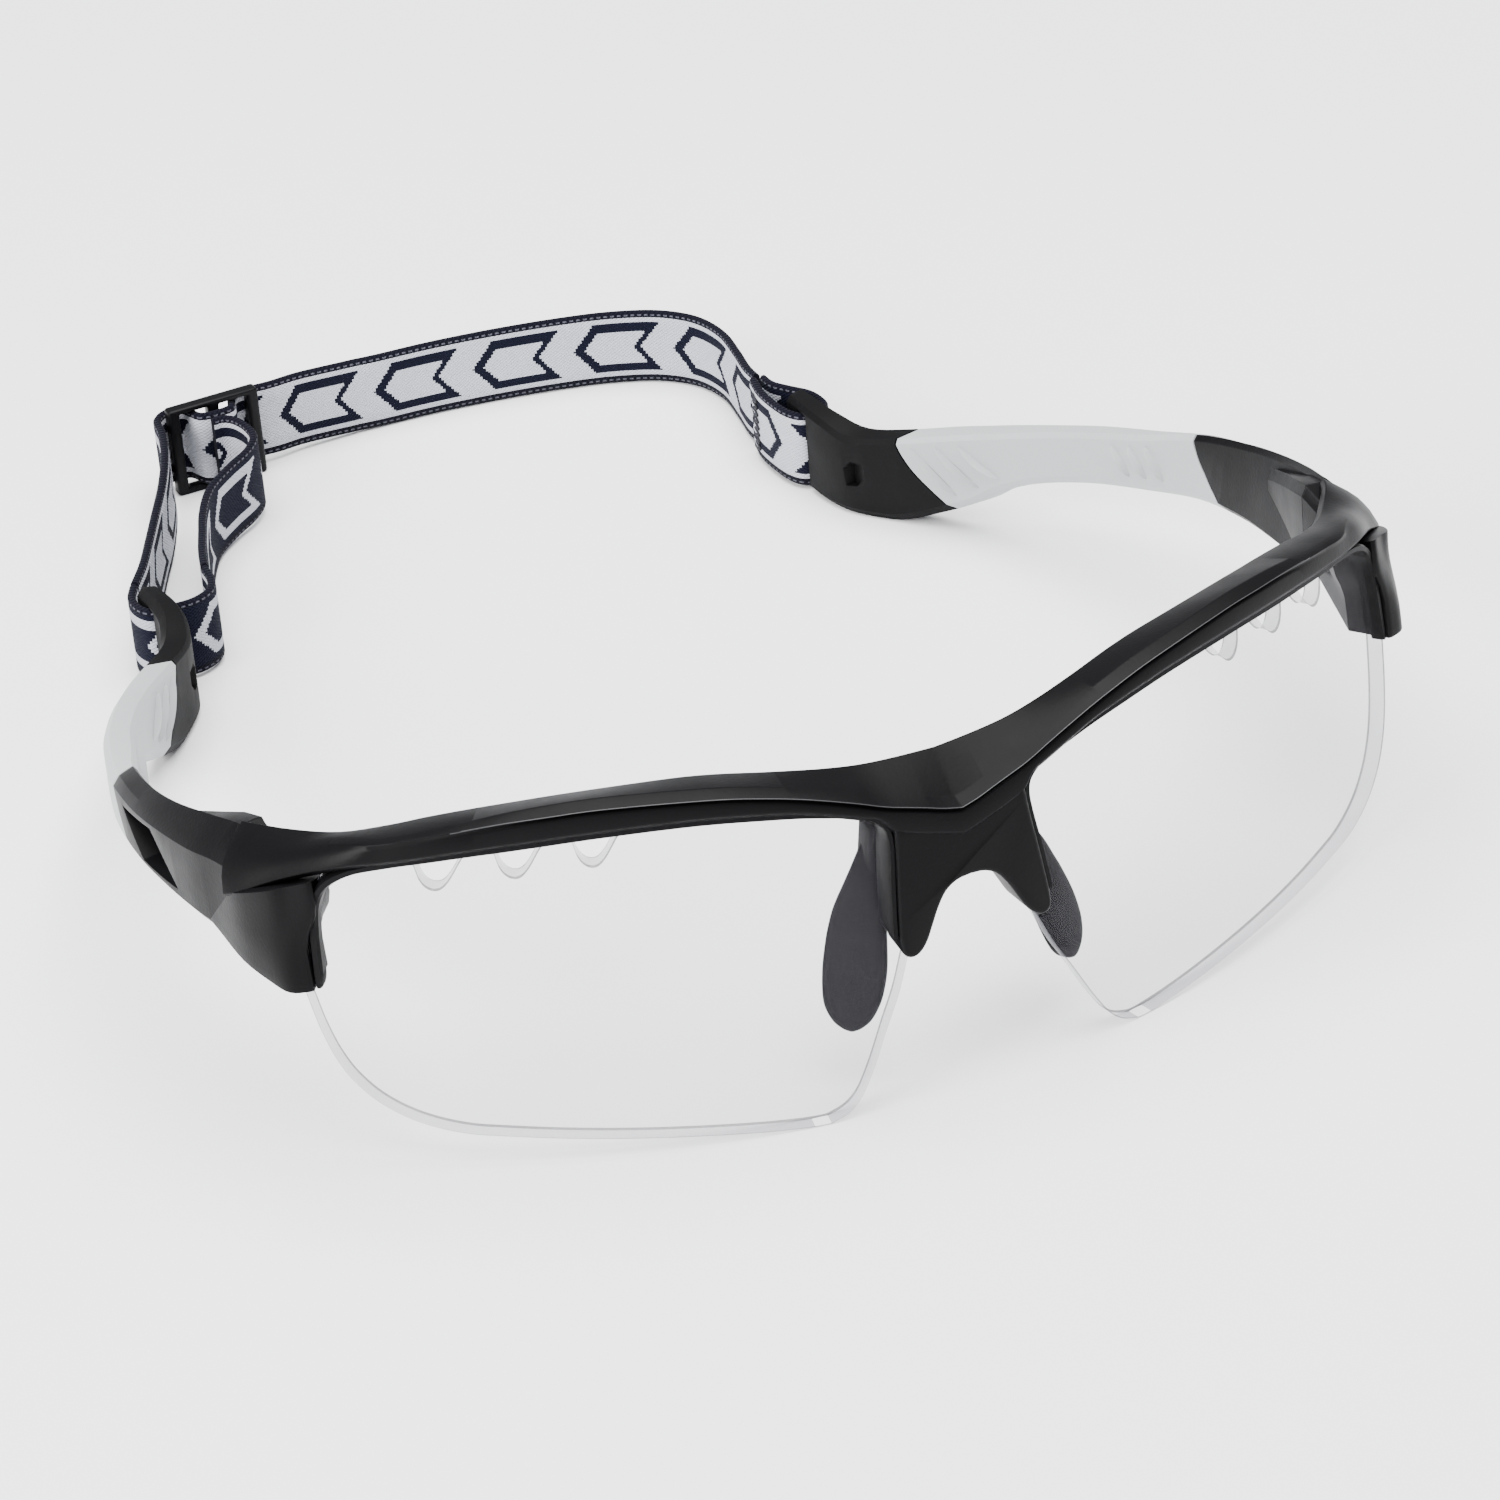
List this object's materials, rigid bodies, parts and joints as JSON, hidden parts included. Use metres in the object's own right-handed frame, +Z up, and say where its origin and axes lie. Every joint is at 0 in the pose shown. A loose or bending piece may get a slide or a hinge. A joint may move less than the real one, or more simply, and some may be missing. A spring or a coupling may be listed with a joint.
{
  "type": "sports protective goggles",
  "caption": "Half-rim wrap-around sports goggles with clear vented lenses, folding temples with soft grips, nose pads and an adjustable printed head strap.",
  "frame": {"origin": "middle of the goggles' footprint on the surface they stand on", "axes": "+X to the wearer's left, -Y to the front of the lenses, +Z up; the lenses' lower edges and the temple tips stand on z = 0"},
  "size_m": [0.1444, 0.1759, 0.0415],
  "materials": {
    "frame_black": "satin injection-moulded nylon, near black",
    "lens_clear": "clear polished polycarbonate",
    "grip_grey": "matte light grey soft-touch elastomer",
    "rubber_black": "matte black elastomer",
    "slider_black": "satin black moulded plastic",
    "screw_steel": "plain machined steel",
    "webbing": "woven polyester webbing, navy and white pattern",
    "thread": "dark lock-stitched thread"
  },
  "bodies": {
    "front": {"front_frame": "frame_black", "lens_left": "lens_clear", "lens_right": "lens_clear", "hinge_screw_left": "screw_steel", "hinge_screw_right": "screw_steel", "strap_band": "webbing", "strap_tail": "webbing"},
    "temple_right_arm": {"temple_right": "frame_black", "temple_grip_right": "grip_grey", "temple_tip_right": "rubber_black", "strap_loop_right": "webbing"},
    "temple_left_arm": {"temple_left": "frame_black", "temple_grip_left": "grip_grey", "temple_tip_left": "rubber_black", "strap_loop_left": "webbing", "bartack_left": "thread"},
    "pad_right": {"nose_pad_right": "rubber_black", "nose_pad_core_right": "frame_black"},
    "pad_left": {"nose_pad_left": "rubber_black", "nose_pad_core_left": "frame_black"},
    "slider": {"strap_slider": "slider_black", "bartack_slider": "thread"}
  },
  "joints": [
    {"name": "temple_right_fold", "type": "hinge", "parent": "front", "child": "temple_right_arm", "pos_m": [-0.0659, -0.0475, 0], "axis": [0, 0, -1], "range_deg": [0, 82], "deforming": ["strap_band", "strap_tail"]},
    {"name": "temple_left_fold", "type": "hinge", "parent": "front", "child": "temple_left_arm", "pos_m": [0.0659, -0.0475, 0], "axis": [0, 0, 1], "range_deg": [0, 72]},
    {"name": "nose_pad_right_tilt", "type": "hinge", "parent": "front", "child": "pad_right", "pos_m": [-0.008, -0.0789, 0.0306], "axis": [0, 1, 0], "range_deg": [-6, 6]},
    {"name": "nose_pad_left_tilt", "type": "hinge", "parent": "front", "child": "pad_left", "pos_m": [0.008, -0.0789, 0.0306], "axis": [0, 1, 0], "range_deg": [-6, 6]},
    {"name": "slider_slide", "type": "slide", "parent": "front", "child": "slider", "axis": [1, 0, 0], "range_m": [0, 0.008]}
  ]
}
